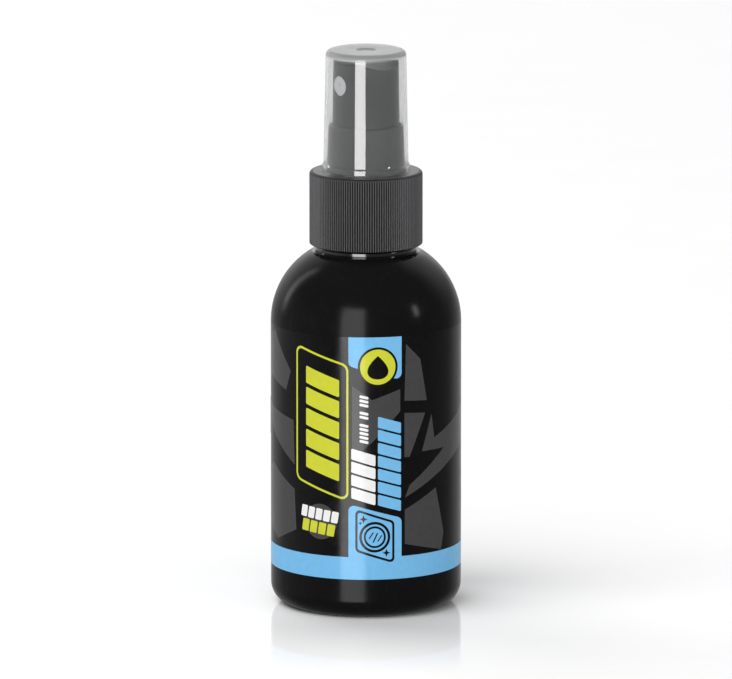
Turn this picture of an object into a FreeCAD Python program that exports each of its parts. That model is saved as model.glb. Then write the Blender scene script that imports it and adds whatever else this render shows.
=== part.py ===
import FreeCAD, Part
import math
import os

# A lens cleaning spray: a blow-moulded bottle with a wrap label, and a screw-on fine mist pump under a clear
# overcap. In millimetres, with +Z up, the origin at the centre of the bottle's base, and the label's front
# facing -Y. Each size is a radius (_R), a height above the base (_Z), or what its name says.

# Bottle
BODY_R = 23.2
BODY_WALL = 0.9
BASE_CORNER_R = 5.0
BASE_THICKNESS = 1.0
DOME_HEIGHT = 3.0
DOME_R = 41.7
DOME_TURN = math.radians(20.3)
STAND_INNER_R = 15.5
GATE_R = 1.5
GATE_HEIGHT = 0.3
SHOULDER_Z = 70.0
SHOULDER_R = 20.0
SHOULDER_TURN = math.radians(60)
SHOULDER_INNER_TURN = math.radians(66)
NECK_RING_R = 12.45
NECK_RING_Z = 87.6
NECK_RING_HEIGHT = 1.1
NECK_GROOVE_R = 12.0
NECK_R = 10.7
NECK_BORE_R = 8.8
LAND_Z = 104.0

# Label: one turn of film round the straight wall, its free end lapped over its start at the back
LABEL_THICKNESS = 0.1
LABEL_BOTTOM_Z = 10.0
LABEL_TOP_Z = 70.0
LABEL_LAP = 5.0

# Screw thread shared by the neck and the closure: a right-hand helix of trapezoid ridges
THREAD_PITCH = 3.175
THREAD_CREST_R = 11.85
THREAD_BASE = 2.0
THREAD_TIP = 1.0
THREAD_START_Z = 97.0
THREAD_TURNS = 1.5
CAP_THREAD_CREST_R = 11.15
CAP_THREAD_BASE = 1.0
CAP_THREAD_TIP = 0.5
CAP_THREAD_TURNS = 1.25
THREAD_GAP = 0.12
THREAD_ROOT_OVERLAP = 0.15
RUNOUT_R = 6.0

# Closure: a ribbed skirt, a flat top, and the collar that the actuator slides in
CLOSURE_R = 13.8
CLOSURE_BOTTOM_Z = 89.0
CLOSURE_TOP_Z = 107.0
CLOSURE_BORE_R = 12.1
CLOSURE_CORE_R = 13.2
CLOSURE_TOP_EDGE_R = 0.8
CLOSURE_TOP_THICKNESS = 1.0
RIB_TOP_Z = 106.2
RIB_COUNT = 144
RIB_DEPTH = 0.3
RIB_TIP_SHARE = 0.42
RIB_ROOT_SHARE = 0.18
COLLAR_BASE_R = 9.5
COLLAR_TIP_R = 9.1
COLLAR_BORE_R = 8.45
COLLAR_TOP_Z = 118.5
SNAP_RING_R = 9.9
SNAP_RING_HEIGHT = 1.3

# Pump cylinder, seals and stem guide
FLANGE_R = 11.4
FLANGE_HEIGHT = 1.2
FLANGE_POCKET_R = 11.6
BEAD_R = 11.2
GASKET_BORE_R = 8.6
GASKET_R = 10.85
PLUG_R = 8.5
PLUG_WALL = 0.9
PLUG_DEPTH = 1.8
CYLINDER_BORE_R = 3.2
CYLINDER_R = 4.2
CYLINDER_FOOT_R = 3.0
SPRING_LEDGE_Z = 82.0
VALVE_BORE_R = 2.0
VALVE_SEAT_Z = 77.4
VALVE_SEAT_TOP_Z = 78.8
VALVE_PORT_R = 1.0
VALVE_STOP_R = 1.15
VALVE_STOP_HEIGHT = 0.9
VALVE_STOP_ANGLE = 50
SOCKET_TOP_Z = 76.6
CYLINDER_BOTTOM_Z = 70.0
VENT_R = 0.35
VENT_Z = 99.7
UPSTAND_BORE_R = 5.0
UPSTAND_R = 6.0
UPSTAND_HEIGHT = 2.4
SNAP_HEIGHT = 1.3
SNAP_HALF = 0.4
SNAP_BEAD = 0.2
SEAL_THICKNESS = 0.6
GUIDE_SKIRT_R = 7.1
GUIDE_TOP_Z = 110.6
GUIDE_TOP_THICKNESS = 1.2
GUIDE_HUB_R = 4.9
GUIDE_SLEEVE_R = 3.1
GUIDE_SLEEVE_BOTTOM_Z = 103.9
SEAT_GAP = 0.02
RUNNING_GAP = 0.03
SLACK_GAP = 0.1

# Stem, piston, spring, valve ball and dip tube
STEM_R = 1.9
STEM_TOP_Z = 124.0
STEM_CHANNEL_R = 0.9
STEM_SHOULDER_R = 2.75
STEM_SHOULDER_Z = 102.8
STEM_SHOULDER_HEIGHT = 1.0
STEM_NECK_R = 1.4
STEM_NECK_BOTTOM_Z = 97.7
STEM_NECK_CHANNEL_R = 0.7
STEM_PORT_Z = 99.5
STEM_PORT_R = 0.35
PISTON_BOTTOM_Z = 97.4
PISTON_TOP_Z = 102.0
PISTON_RELIEF_R = 1.9
PISTON_RELIEF_TOP_Z = 100.3
PISTON_WAIST_R = 2.95
ROD_HEAD_R = 2.5
ROD_HEAD_Z = 95.6
ROD_HEAD_HEIGHT = 1.0
ROD_R = 1.1
ROD_BOTTOM_Z = 88.5
ROD_PIN_TOP_Z = 99.0
BALL_R = 1.5
SPRING_MEAN_R = 2.45
SPRING_WIRE_R = 0.25
SPRING_TURNS = 9.5
SPRING_CLOSED_TURNS = 1.0
SPRING_POINTS_PER_TURN = 20
TUBE_R = 1.8
TUBE_BORE_R = 1.2
TUBE_BEND_Z = 55.0
TUBE_BEND_R = 90.0
TUBE_BEND = math.radians(28)
TUBE_TAIL = 8.0

# Actuator and nozzle insert
ACTUATOR_R = 8.2
ACTUATOR_TOP_R = 7.95
ACTUATOR_BOTTOM_Z = 115.5
ACTUATOR_TOP_Z = 134.2
ACTUATOR_WALL = 0.85
ACTUATOR_ROOF_Z = 130.9
ACTUATOR_RIB = 1.0
ACTUATOR_TURN = -55
BOSS_R = 3.3
BOSS_BOTTOM_Z = 116.5
SCOOP_R = 15.0
SCOOP_DEPTH = 1.5
SCOOP_BACK = 1.2
NOZZLE_Z = 128.6
NOZZLE_FACE = 7.75
NOZZLE_R = 2.45
NOZZLE_FLANGE = 0.6
NOZZLE_CUP_R = 2.1
NOZZLE_CUP_BORE_R = 1.3
NOZZLE_DEPTH = 3.2
NOZZLE_ORIFICE_R = 0.2
NOZZLE_CONE_R = 0.8
NOZZLE_CONE_DEPTH = 0.35
NOZZLE_TUBE_R = 3.1
SWIRL_POST_R = 1.15
SWIRL_POST_GAP = 0.25

# Overcap
OVERCAP_R = 10.65
OVERCAP_TOP_R = 9.78
OVERCAP_WALL = 0.7
OVERCAP_BOTTOM_Z = 107.04
OVERCAP_TOP_Z = 136.8
OVERCAP_ROOF = 0.9
OVERCAP_EDGE_R = 1.3
DIMPLE_R = 2.2
DIMPLE_DEPTH = 0.3

UP = FreeCAD.Vector(0, 0, 1)
FORWARD = FreeCAD.Vector(0, -1, 0)
ORIGIN = FreeCAD.Vector(0, 0, 0)


def point(radius, height):
    return FreeCAD.Vector(radius, 0, height)


def rounded_wire(corners):
    """A closed wire in the XZ plane through (r, z) corners. A third number is the radius of that corner."""
    starts, ends, arcs = [], [], []
    count = len(corners)
    for i, corner in enumerate(corners):
        here = point(corner[0], corner[1])
        fillet = corner[2] if len(corner) > 2 else 0
        if not fillet:
            starts.append(here)
            ends.append(here)
            arcs.append(None)
            continue
        to_last = (point(*corners[i - 1][:2]) - here).normalize()
        to_next = (point(*corners[(i + 1) % count][:2]) - here).normalize()
        half = to_last.getAngle(to_next) / 2
        reach = fillet / math.tan(half)
        bisector = (to_last + to_next).normalize()
        middle = here + bisector * (fillet / math.sin(half) - fillet)
        starts.append(here + to_last * reach)
        ends.append(here + to_next * reach)
        arcs.append(Part.Arc(starts[-1], middle, ends[-1]).toShape())
    edges = []
    for i in range(count):
        if arcs[i]:
            edges.append(arcs[i])
        following = starts[(i + 1) % count]
        if ends[i].distanceToPoint(following) > 1e-5:
            edges.append(Part.makeLine(ends[i], following))
    return Part.Wire(edges)


def turned(corners):
    """The solid of revolution about the Z axis of a rounded outline."""
    return Part.Face(rounded_wire(corners)).revolve(ORIGIN, UP, 360)


def rod(radius, bottom, top):
    return Part.makeCylinder(radius, top - bottom, point(0, bottom), UP)


def ring(inner, outer, bottom, top):
    return rod(outer, bottom, top).cut(rod(inner, bottom - 1, top + 1))


def forward_rod(radius, near, far, height):
    """A cylinder along -Y, between two distances in front of the Z axis."""
    return Part.makeCylinder(radius, far - near, FreeCAD.Vector(0, -near, height), FORWARD)


def spin(shape, degrees):
    turned_shape = shape.copy()
    turned_shape.rotate(ORIGIN, UP, degrees)
    return turned_shape


def ridge(wall_r, crest_r, base, tip, start_z, turns):
    """A trapezoid ridge on a right-hand helix, rooted a little inside its wall and starting on +X."""
    buried_r = wall_r + math.copysign(THREAD_ROOT_OVERLAP, wall_r - crest_r)
    outline = [(buried_r, -base / 2), (crest_r, -tip / 2), (crest_r, tip / 2), (buried_r, base / 2)]
    helix = Part.makeHelix(THREAD_PITCH, THREAD_PITCH * turns, wall_r)
    solid = Part.Wire(helix.Edges).makePipeShell([rounded_wire(outline)], True, True)
    solid.translate(UP * start_z)
    return solid


def neck_thread():
    """The neck's ridge. A flat tangent to the neck cuts each end down to nothing."""
    solid = ridge(NECK_R, THREAD_CREST_R, THREAD_BASE, THREAD_TIP, THREAD_START_Z, THREAD_TURNS)
    for turn in (0, THREAD_TURNS):
        middle = THREAD_START_Z + turn * THREAD_PITCH
        block = Part.makeBox(5, 16, THREAD_PITCH, FreeCAD.Vector(NECK_R, -8, middle - THREAD_PITCH / 2))
        solid = solid.cut(spin(block, 360 * turn))
    return solid


def cap_thread():
    """The closure's ridge, just under the neck's. A round cutter runs each end out into the bore's wall."""
    slope = (THREAD_BASE - THREAD_TIP) / 2 / (THREAD_CREST_R - NECK_R)
    neck_half = THREAD_TIP / 2 + slope * (THREAD_CREST_R - CAP_THREAD_CREST_R)
    start_z = THREAD_START_Z - neck_half - CAP_THREAD_TIP / 2 - THREAD_GAP
    solid = ridge(
        CLOSURE_BORE_R, CAP_THREAD_CREST_R, CAP_THREAD_BASE, CAP_THREAD_TIP, start_z, CAP_THREAD_TURNS)
    for turn in (0, CAP_THREAD_TURNS):
        middle = start_z + turn * THREAD_PITCH
        foot = point(CLOSURE_BORE_R - RUNOUT_R, middle - THREAD_PITCH / 2)
        cutter = Part.makeCylinder(RUNOUT_R, THREAD_PITCH, foot, UP)
        solid = solid.cut(spin(cutter, 360 * turn))
    return solid


def dome(lift):
    """Corners of the base's push-up, from the axis outwards, lifted by a wall's thickness for its inside."""
    reach = DOME_R * math.tan(DOME_TURN / 2)
    top = DOME_HEIGHT + lift
    rim = (reach + reach * math.cos(DOME_TURN), top - reach * math.sin(DOME_TURN))
    return [(0, top), (reach, top, DOME_R), rim]


def shoulder(radius, wall_r, turn):
    """Corners of a shoulder arc that starts upright at the wall and turns in by an angle."""
    reach = radius * math.tan(turn / 2)
    end = (wall_r - radius * (1 - math.cos(turn)), SHOULDER_Z + radius * math.sin(turn))
    return [(wall_r, SHOULDER_Z + reach, radius), end]


def bottle():
    inner_r = BODY_R - BODY_WALL
    ring_top = NECK_RING_Z + NECK_RING_HEIGHT
    outer = dome(0) + [
        (STAND_INNER_R, 0, 0.6),
        (BODY_R, 0, BASE_CORNER_R),
        *shoulder(SHOULDER_R, BODY_R, SHOULDER_TURN),
        (NECK_GROOVE_R, NECK_RING_Z - 0.25),
        (NECK_GROOVE_R, NECK_RING_Z),
        (NECK_RING_R, NECK_RING_Z, 0.25),
        (NECK_RING_R, ring_top, 0.35),
        (NECK_R, ring_top, 0.3),
        (NECK_R, LAND_Z, 0.4),
        (NECK_BORE_R, LAND_Z, 0.3),
    ]
    inner = [
        (NECK_BORE_R, NECK_RING_Z + 0.8, 2.0),
        *reversed(shoulder(SHOULDER_R - BODY_WALL, inner_r, SHOULDER_INNER_TURN)),
        (inner_r, BASE_THICKNESS, BASE_CORNER_R - BODY_WALL),
        (STAND_INNER_R - 0.3, BASE_THICKNESS, 0.8),
        *reversed(dome(BASE_THICKNESS)),
    ]
    gate = rod(GATE_R, DOME_HEIGHT - GATE_HEIGHT, DOME_HEIGHT + BASE_THICKNESS / 2)
    return turned(outer + inner).fuse(gate).fuse(neck_thread()).removeSplitter()


def label():
    outer = BODY_R + LABEL_THICKNESS
    wrap = ring(BODY_R, outer, LABEL_BOTTOM_Z, LABEL_TOP_Z)
    lap_angle = math.degrees(LABEL_LAP / outer)
    lap = ring(outer - LABEL_THICKNESS / 2, outer + LABEL_THICKNESS, LABEL_BOTTOM_Z, LABEL_TOP_Z)
    height = LABEL_TOP_Z - LABEL_BOTTOM_Z
    sector = Part.makeCylinder(BODY_R + 2, height, point(0, LABEL_BOTTOM_Z), UP, lap_angle)
    return wrap.fuse(lap.common(spin(sector, 90 - lap_angle / 2))).removeSplitter()


def ribbed_band():
    """The closure's grip: a ring with fine upright ribs, from its bottom edge to near its rounded top."""
    pitch = 2 * math.pi / RIB_COUNT
    tip = pitch * RIB_TIP_SHARE / 2
    root = pitch * (1 - RIB_ROOT_SHARE) / 2
    root_r = CLOSURE_R - RIB_DEPTH
    teeth = []
    for i in range(RIB_COUNT):
        for radius, offset in ((root_r, -root), (CLOSURE_R, -tip), (CLOSURE_R, tip), (root_r, root)):
            angle = i * pitch + offset
            x, y = radius * math.cos(angle), radius * math.sin(angle)
            teeth.append(FreeCAD.Vector(x, y, CLOSURE_BOTTOM_Z))
    block = Part.Face(Part.makePolygon(teeth + teeth[:1])).extrude(UP * (RIB_TOP_Z - CLOSURE_BOTTOM_Z))
    return block.cut(rod(CLOSURE_CORE_R - 0.4, CLOSURE_BOTTOM_Z - 1, RIB_TOP_Z + 1))


def closure():
    under_top = CLOSURE_TOP_Z - CLOSURE_TOP_THICKNESS
    snap_top = CLOSURE_TOP_Z + SNAP_RING_HEIGHT
    body = turned([
        (CLOSURE_BORE_R + 0.4, CLOSURE_BOTTOM_Z),
        (CLOSURE_CORE_R, CLOSURE_BOTTOM_Z),
        (CLOSURE_CORE_R, RIB_TOP_Z),
        (CLOSURE_R, RIB_TOP_Z),
        (CLOSURE_R, CLOSURE_TOP_Z, CLOSURE_TOP_EDGE_R),
        (SNAP_RING_R, CLOSURE_TOP_Z),
        (SNAP_RING_R, snap_top, 0.3),
        (COLLAR_BASE_R, snap_top),
        (COLLAR_TIP_R, COLLAR_TOP_Z, 0.5),
        (COLLAR_BORE_R, COLLAR_TOP_Z, 0.1),
        (COLLAR_BORE_R, under_top),
        (FLANGE_POCKET_R, under_top),
        (FLANGE_POCKET_R, LAND_Z + 0.9),
        (BEAD_R, LAND_Z + 0.6),
        (BEAD_R, LAND_Z + 0.35),
        (CLOSURE_BORE_R, LAND_Z - 0.2),
        (CLOSURE_BORE_R, CLOSURE_BOTTOM_Z + 0.6),
    ])
    return body.fuse(ribbed_band()).fuse(cap_thread())


def gasket():
    flange_z = CLOSURE_TOP_Z - CLOSURE_TOP_THICKNESS - FLANGE_HEIGHT
    return ring(GASKET_BORE_R, GASKET_R, LAND_Z + SEAT_GAP, flange_z - SEAT_GAP)


def valve_stop():
    """Three lugs over the valve ball, with gaps between them for the liquid."""
    bottom = SPRING_LEDGE_Z - VALVE_STOP_HEIGHT
    lugs = []
    for degrees in (0, 120, 240):
        sector = Part.makeCylinder(
            VALVE_BORE_R + 0.2, VALVE_STOP_HEIGHT, point(0, bottom), UP, VALVE_STOP_ANGLE)
        lugs.append(spin(sector.cut(rod(VALVE_STOP_R, bottom - 1, SPRING_LEDGE_Z + 1)), degrees))
    return lugs


def pump_cylinder():
    flange_top = CLOSURE_TOP_Z - CLOSURE_TOP_THICKNESS
    flange_z = flange_top - FLANGE_HEIGHT
    upstand_top = flange_top + UPSTAND_HEIGHT
    foot_top = SPRING_LEDGE_Z - 1.5
    shell = turned([
        (TUBE_R + 0.3, CYLINDER_BOTTOM_Z),
        (CYLINDER_FOOT_R, CYLINDER_BOTTOM_Z, 0.3),
        (CYLINDER_FOOT_R, foot_top, 0.6),
        (CYLINDER_R, foot_top + 1.2, 0.8),
        (CYLINDER_R, flange_z, 0.5),
        (PLUG_R - PLUG_WALL, flange_z, 0.3),
        (PLUG_R - PLUG_WALL, flange_z - PLUG_DEPTH, 0.2),
        (PLUG_R, flange_z - PLUG_DEPTH, 0.5),
        (PLUG_R, flange_z),
        (FLANGE_R, flange_z, 0.2),
        (FLANGE_R, flange_top, 0.3),
        (UPSTAND_R, flange_top),
        (UPSTAND_R, flange_top + SNAP_HEIGHT - SNAP_HALF),
        (UPSTAND_R + SNAP_BEAD, flange_top + SNAP_HEIGHT),
        (UPSTAND_R, flange_top + SNAP_HEIGHT + SNAP_HALF),
        (UPSTAND_R, upstand_top, 0.2),
        (UPSTAND_BORE_R, upstand_top, 0.2),
        (UPSTAND_BORE_R, flange_top),
        (CYLINDER_BORE_R, flange_top, 0.2),
        (CYLINDER_BORE_R, SPRING_LEDGE_Z),
        (VALVE_BORE_R, SPRING_LEDGE_Z),
        (VALVE_BORE_R, VALVE_SEAT_TOP_Z),
        (VALVE_PORT_R, VALVE_SEAT_Z),
        (VALVE_PORT_R, SOCKET_TOP_Z),
        (TUBE_R, SOCKET_TOP_Z),
        (TUBE_R, CYLINDER_BOTTOM_Z + 0.5),
    ])
    vent = Part.makeCylinder(VENT_R, CYLINDER_R + 1, point(0, VENT_Z), FreeCAD.Vector(1, 0, 0))
    return shell.fuse(valve_stop()).cut(vent)


def cylinder_seal():
    bottom = CLOSURE_TOP_Z - CLOSURE_TOP_THICKNESS
    return ring(CYLINDER_BORE_R + 0.2, UPSTAND_BORE_R - 0.05, bottom, bottom + SEAL_THICKNESS)


def stem_guide():
    flange_top = CLOSURE_TOP_Z - CLOSURE_TOP_THICKNESS
    skirt_bore = UPSTAND_R + 0.05
    seal_top = flange_top + SEAL_THICKNESS + SEAT_GAP
    under_top = GUIDE_TOP_Z - GUIDE_TOP_THICKNESS
    return turned([
        (skirt_bore, flange_top + 0.1),
        (GUIDE_SKIRT_R, flange_top + 0.1, 0.2),
        (GUIDE_SKIRT_R, GUIDE_TOP_Z, 0.4),
        (STEM_R + SLACK_GAP, GUIDE_TOP_Z, 0.15),
        (STEM_R + SLACK_GAP, GUIDE_SLEEVE_BOTTOM_Z),
        (GUIDE_SLEEVE_R, GUIDE_SLEEVE_BOTTOM_Z, 0.2),
        (GUIDE_SLEEVE_R, seal_top),
        (GUIDE_HUB_R, seal_top),
        (GUIDE_HUB_R, under_top),
        (skirt_bore, under_top),
        (skirt_bore, flange_top + SNAP_HEIGHT + SNAP_HALF + 0.05),
        (skirt_bore + SNAP_BEAD, flange_top + SNAP_HEIGHT),
        (skirt_bore, flange_top + SNAP_HEIGHT - SNAP_HALF - 0.05),
    ])


def upper_stem():
    shoulder_top = STEM_SHOULDER_Z + STEM_SHOULDER_HEIGHT
    tube = turned([
        (STEM_NECK_CHANNEL_R, STEM_NECK_BOTTOM_Z),
        (STEM_NECK_R, STEM_NECK_BOTTOM_Z, 0.15),
        (STEM_NECK_R, STEM_SHOULDER_Z),
        (STEM_SHOULDER_R, STEM_SHOULDER_Z, 0.15),
        (STEM_SHOULDER_R, shoulder_top, 0.2),
        (STEM_R, shoulder_top),
        (STEM_R, STEM_TOP_Z, 0.3),
        (STEM_CHANNEL_R, STEM_TOP_Z),
        (STEM_CHANNEL_R, STEM_SHOULDER_Z),
        (STEM_NECK_CHANNEL_R, STEM_SHOULDER_Z - 0.4),
    ])
    for side in (FreeCAD.Vector(1, 0, 0), FreeCAD.Vector(0, 1, 0)):
        start = point(0, STEM_PORT_Z) - side * 2 * STEM_NECK_R
        tube = tube.cut(Part.makeCylinder(STEM_PORT_R, 4 * STEM_NECK_R, start, side))
    return tube


def lower_stem():
    head_top = ROD_HEAD_Z + ROD_HEAD_HEIGHT
    pin_r = STEM_NECK_CHANNEL_R - RUNNING_GAP
    return turned([
        (0, ROD_BOTTOM_Z),
        (ROD_R, ROD_BOTTOM_Z, 0.3),
        (ROD_R, ROD_HEAD_Z, 0.2),
        (ROD_HEAD_R, ROD_HEAD_Z, 0.15),
        (ROD_HEAD_R, head_top),
        (STEM_NECK_R, STEM_NECK_BOTTOM_Z - 0.05),
        (pin_r, STEM_NECK_BOTTOM_Z - 0.05),
        (pin_r, ROD_PIN_TOP_Z, 0.2),
        (0, ROD_PIN_TOP_Z),
    ])


def piston():
    """A ring with a thin lip at each end, and a bore that widens at its foot to feed the stem's ports."""
    lip_r = CYLINDER_BORE_R - RUNNING_GAP
    return turned([
        (PISTON_RELIEF_R, PISTON_BOTTOM_Z),
        (PISTON_RELIEF_R + 0.35, PISTON_BOTTOM_Z, 0.1),
        (PISTON_RELIEF_R + 0.5, PISTON_BOTTOM_Z + 1.0, 0.1),
        (lip_r - 0.35, PISTON_BOTTOM_Z + 0.9),
        (lip_r - 0.25, PISTON_BOTTOM_Z),
        (lip_r, PISTON_BOTTOM_Z),
        (lip_r, PISTON_BOTTOM_Z + 0.7),
        (PISTON_WAIST_R, PISTON_BOTTOM_Z + 1.3),
        (PISTON_WAIST_R, PISTON_TOP_Z - 1.3),
        (lip_r, PISTON_TOP_Z - 0.7),
        (lip_r, PISTON_TOP_Z),
        (lip_r - 0.25, PISTON_TOP_Z),
        (lip_r - 0.4, PISTON_TOP_Z - 0.9),
        (PISTON_RELIEF_R + 0.2, PISTON_TOP_Z - 0.9, 0.1),
        (PISTON_RELIEF_R + 0.1, PISTON_TOP_Z, 0.1),
        (STEM_NECK_R + RUNNING_GAP, PISTON_TOP_Z),
        (STEM_NECK_R + RUNNING_GAP, PISTON_RELIEF_TOP_Z),
        (PISTON_RELIEF_R, PISTON_RELIEF_TOP_Z - 0.4),
    ])


def valve_ball():
    """The ball, resting in the cylinder's conical seat."""
    cone = math.atan2(VALVE_BORE_R - VALVE_PORT_R, VALVE_SEAT_TOP_Z - VALVE_SEAT_Z)
    apex_z = VALVE_SEAT_Z - VALVE_PORT_R / math.tan(cone)
    return Part.makeSphere(BALL_R, point(0, apex_z + (BALL_R + RUNNING_GAP) / math.sin(cone)))


def return_spring():
    """A compression spring with closed ends, between the cylinder's ledge and the lower stem's head."""
    bottom = SPRING_LEDGE_Z + SPRING_WIRE_R + SEAT_GAP
    top = ROD_HEAD_Z - SPRING_WIRE_R - SEAT_GAP
    closed_rise = 2.1 * SPRING_WIRE_R
    open_turns = SPRING_TURNS - 2 * SPRING_CLOSED_TURNS
    open_rise = (top - bottom - 2 * SPRING_CLOSED_TURNS * closed_rise) / open_turns
    points = []
    for i in range(round(SPRING_TURNS * SPRING_POINTS_PER_TURN) + 1):
        turn = i / SPRING_POINTS_PER_TURN
        opened = min(max(turn - SPRING_CLOSED_TURNS, 0), open_turns)
        height = bottom + opened * open_rise + (turn - opened) * closed_rise
        angle = 2 * math.pi * turn
        x, y = SPRING_MEAN_R * math.cos(angle), SPRING_MEAN_R * math.sin(angle)
        points.append(FreeCAD.Vector(x, y, height))
    curve = Part.BSplineCurve()
    curve.interpolate(points)
    along = curve.tangent(curve.FirstParameter)[0]
    section = Part.Wire(Part.makeCircle(SPRING_WIRE_R, points[0], along))
    sweep = Part.BRepOffsetAPI.MakePipeShell(Part.Wire(curve.toShape()))
    sweep.setBiNormalMode(UP)
    sweep.add(section)
    sweep.build()
    sweep.makeSolid()
    return sweep.shape()


def dip_tube():
    """Straight down from the cylinder's socket, then bent forwards to reach near the foot of the wall."""
    start = point(0, SOCKET_TOP_Z - 0.2)
    bend_start = point(0, TUBE_BEND_Z)

    def on_bend(angle):
        forward = TUBE_BEND_R * (1 - math.cos(angle))
        return FreeCAD.Vector(0, -forward, TUBE_BEND_Z - TUBE_BEND_R * math.sin(angle))

    bend_end = on_bend(TUBE_BEND)
    tail = FreeCAD.Vector(0, -math.sin(TUBE_BEND), -math.cos(TUBE_BEND)) * TUBE_TAIL
    path = Part.Wire([
        Part.makeLine(start, bend_start),
        Part.Arc(bend_start, on_bend(TUBE_BEND / 2), bend_end).toShape(),
        Part.makeLine(bend_end, bend_end + tail),
    ])
    outer = path.makePipeShell([Part.Wire(Part.makeCircle(TUBE_R, start, UP))], True, False)
    bore = path.makePipeShell([Part.Wire(Part.makeCircle(TUBE_BORE_R, start, UP))], True, False)
    return outer.cut(bore)


def actuator():
    """Built with its nozzle facing -Y, then turned on the stem. A boss inside its hollow holds the stem."""
    def wall_r(height):
        share = (height - ACTUATOR_BOTTOM_Z) / (ACTUATOR_TOP_Z - ACTUATOR_BOTTOM_Z)
        return ACTUATOR_R + (ACTUATOR_TOP_R - ACTUATOR_R) * share

    outside = turned([
        (0, ACTUATOR_BOTTOM_Z),
        (ACTUATOR_R, ACTUATOR_BOTTOM_Z, 0.2),
        (ACTUATOR_TOP_R, ACTUATOR_TOP_Z, 0.5),
        (0, ACTUATOR_TOP_Z),
    ])
    scoop_centre = FreeCAD.Vector(-12, SCOOP_BACK, ACTUATOR_TOP_Z - SCOOP_DEPTH + SCOOP_R)
    scoop = Part.makeCylinder(SCOOP_R, 24, scoop_centre, FreeCAD.Vector(1, 0, 0))
    hollow = turned([
        (0, ACTUATOR_BOTTOM_Z - 1),
        (ACTUATOR_R - ACTUATOR_WALL, ACTUATOR_BOTTOM_Z - 1),
        (wall_r(ACTUATOR_ROOF_Z) - ACTUATOR_WALL, ACTUATOR_ROOF_Z, 1.0),
        (0, ACTUATOR_ROOF_Z),
    ])
    boss = rod(BOSS_R, BOSS_BOTTOM_Z, ACTUATOR_ROOF_Z + 0.2)
    passage = forward_rod(NOZZLE_TUBE_R, 0, NOZZLE_FACE - 0.3, NOZZLE_Z)
    rib_length = 2 * (ACTUATOR_R - ACTUATOR_WALL) + 0.2
    rib_corner = FreeCAD.Vector(-rib_length / 2, -ACTUATOR_RIB / 2, BOSS_BOTTOM_Z + 4)
    rib = Part.makeBox(rib_length, ACTUATOR_RIB, ACTUATOR_ROOF_Z + 0.2 - rib_corner.z, rib_corner)
    core = boss.fuse([passage, rib]).common(outside)
    body = outside.cut(hollow).fuse(core).cut(scoop)
    stem_socket = rod(STEM_R, BOSS_BOTTOM_Z - 1, STEM_TOP_Z)
    channel = rod(STEM_CHANNEL_R, STEM_TOP_Z - 0.5, NOZZLE_Z + STEM_CHANNEL_R)
    flange_seat = NOZZLE_FACE - NOZZLE_FLANGE
    pocket_floor = NOZZLE_FACE - NOZZLE_DEPTH
    pocket = forward_rod(NOZZLE_R + 0.03, flange_seat, ACTUATOR_R + 2, NOZZLE_Z)
    pocket = pocket.fuse(forward_rod(NOZZLE_CUP_R, pocket_floor, flange_seat + 0.1, NOZZLE_Z))
    post = forward_rod(SWIRL_POST_R, pocket_floor - 0.1, flange_seat - SWIRL_POST_GAP, NOZZLE_Z)
    feed = forward_rod(0.4, 0, pocket_floor + 0.3, NOZZLE_Z + SWIRL_POST_R + 0.35)
    body = body.cut([stem_socket, channel, pocket]).fuse(post).cut(feed)
    body = body.cut(rod(STEM_CHANNEL_R, NOZZLE_Z, NOZZLE_Z + SWIRL_POST_R + 0.75))
    return spin(body, ACTUATOR_TURN)


def nozzle_insert():
    """A flanged cup pressed into the actuator's pocket, over the swirl post."""
    flange_seat = NOZZLE_FACE - NOZZLE_FLANGE
    back = NOZZLE_FACE - NOZZLE_DEPTH + 0.6
    cup = forward_rod(NOZZLE_CUP_R, back, flange_seat + 0.1, NOZZLE_Z)
    cup = cup.fuse(forward_rod(NOZZLE_R, flange_seat, NOZZLE_FACE, NOZZLE_Z))
    rim = [edge for edge in cup.Edges if edge.BoundBox.YMax < 0.001 - NOZZLE_FACE]
    cup = cup.makeFillet(0.15, rim)
    cup = cup.cut(forward_rod(NOZZLE_CUP_BORE_R, back - 1, flange_seat - 0.1, NOZZLE_Z))
    cup = cup.cut(forward_rod(NOZZLE_ORIFICE_R, back, NOZZLE_FACE + 1, NOZZLE_Z))
    mouth_foot = FreeCAD.Vector(0, NOZZLE_CONE_DEPTH - NOZZLE_FACE, NOZZLE_Z)
    mouth = Part.makeCone(NOZZLE_ORIFICE_R, NOZZLE_CONE_R, NOZZLE_CONE_DEPTH, mouth_foot, FORWARD)
    return spin(cup.cut(mouth), ACTUATOR_TURN)


def overcap():
    roof = OVERCAP_TOP_Z - OVERCAP_ROOF
    return turned([
        (0, OVERCAP_TOP_Z - DIMPLE_DEPTH),
        (DIMPLE_R, OVERCAP_TOP_Z - DIMPLE_DEPTH, 0.1),
        (DIMPLE_R + 0.15, OVERCAP_TOP_Z, 0.1),
        (OVERCAP_TOP_R, OVERCAP_TOP_Z, OVERCAP_EDGE_R),
        (OVERCAP_R, OVERCAP_BOTTOM_Z, 0.25),
        (OVERCAP_R - OVERCAP_WALL, OVERCAP_BOTTOM_Z, 0.15),
        (OVERCAP_TOP_R - OVERCAP_WALL, roof, 0.8),
        (0, roof),
    ])


def write_parts(parts):
    os.makedirs("parts", exist_ok=True)
    for name, shape in parts.items():
        solids = shape.Solids
        if not shape.isValid() or not solids:
            raise ValueError(name + " is not a valid solid")
        shape = solids[0] if len(solids) == 1 else Part.Compound(solids)
        shape.exportStep("parts/" + name + ".step")
        print(name, len(solids), "solid,", round(shape.Volume, 1), "mm3,", len(shape.Faces), "faces")


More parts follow.
